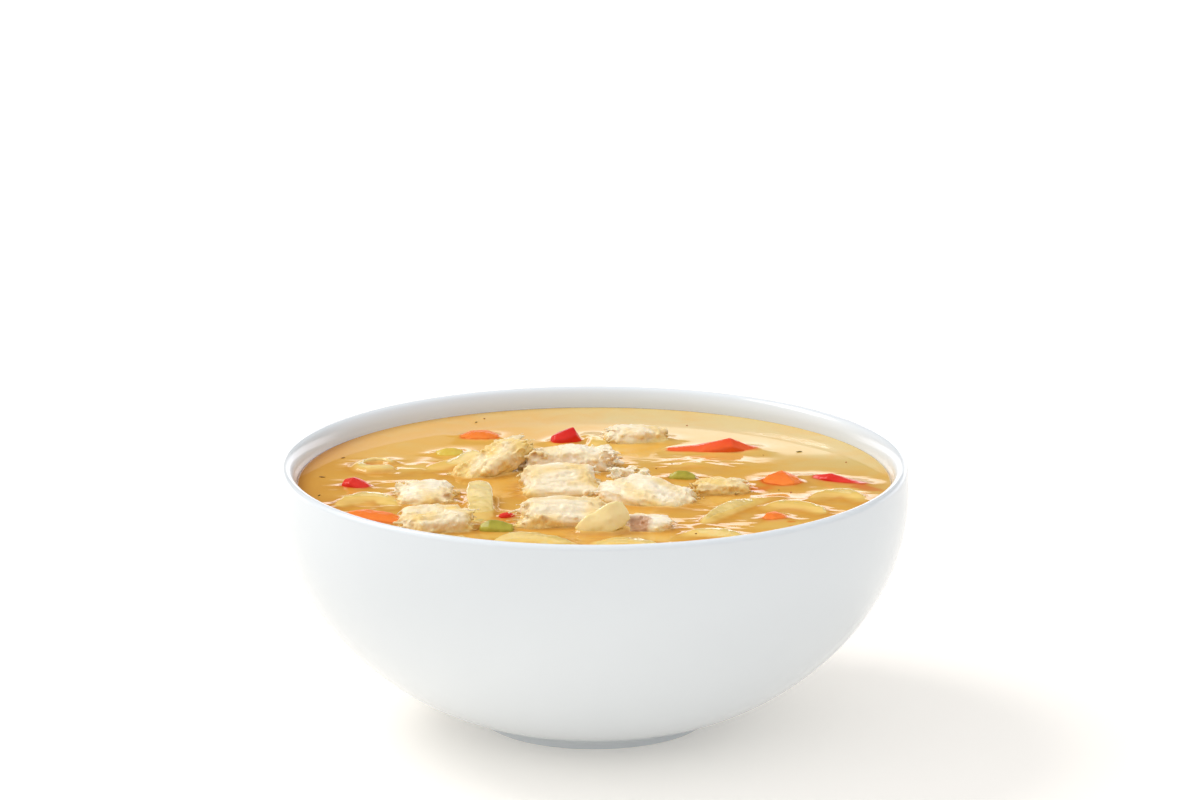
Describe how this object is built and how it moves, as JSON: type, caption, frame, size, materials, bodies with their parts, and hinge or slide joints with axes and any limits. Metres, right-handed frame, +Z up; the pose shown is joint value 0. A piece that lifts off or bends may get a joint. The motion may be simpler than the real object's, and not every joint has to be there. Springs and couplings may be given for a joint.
{
  "type": "bowl of chicken noodle soup",
  "caption": "Round white porcelain soup bowl on a foot ring, filled with creamy golden chicken noodle soup with torn chicken, egg noodles, red pepper, carrot, celery and herbs.",
  "frame": {"origin": "centre of the foot ring's resting plane, under the middle of the bowl", "axes": "+Z up out of the bowl, +Y away from the viewer of the picture, +X to that viewer's right"},
  "size_m": [0.1526, 0.1526, 0.067],
  "materials": {
    "porcelain": "smooth clear glaze",
    "broth": "wet, creamy and opaque",
    "chicken": "moist torn meat",
    "noodle": "wet, slightly see-through",
    "pepper": "wet skin",
    "carrot": "wet cut face",
    "celery": "wet cut face"
  },
  "bodies": {
    "root": {"bowl": "porcelain", "broth": "broth", "chicken_centre": "chicken", "chicken_centre_front": "chicken", "chicken_right": "chicken", "chicken_centre_back": "chicken", "chicken_left": "chicken", "chicken_front_left": "chicken", "chicken_spike": "chicken", "chicken_back": "chicken", "chicken_right_shred": "chicken", "chicken_front_right": "chicken", "noodle_left_back": "noodle", "noodle_under_spike": "noodle", "noodle_left_front": "noodle", "noodle_upright": "noodle", "noodle_fold": "noodle", "noodle_back": "noodle", "noodle_right_back": "noodle", "noodle_right_edge": "noodle", "noodle_right_front": "noodle", "noodle_long": "noodle", "noodle_front": "noodle", "noodle_front_middle": "noodle", "noodle_near_left": "noodle", "noodle_near_right": "noodle", "pepper_back": "pepper", "pepper_left": "pepper", "pepper_strip_back": "pepper", "pepper_strip_right": "pepper", "pepper_bit_front": "pepper", "carrot_back_left": "carrot", "carrot_front_left": "carrot", "carrot_right": "carrot", "carrot_right_front": "carrot", "carrot_near": "carrot", "celery_left": "celery", "celery_front": "celery", "celery_right": "celery", "noodle_ring": "noodle"}
  },
  "joints": []
}
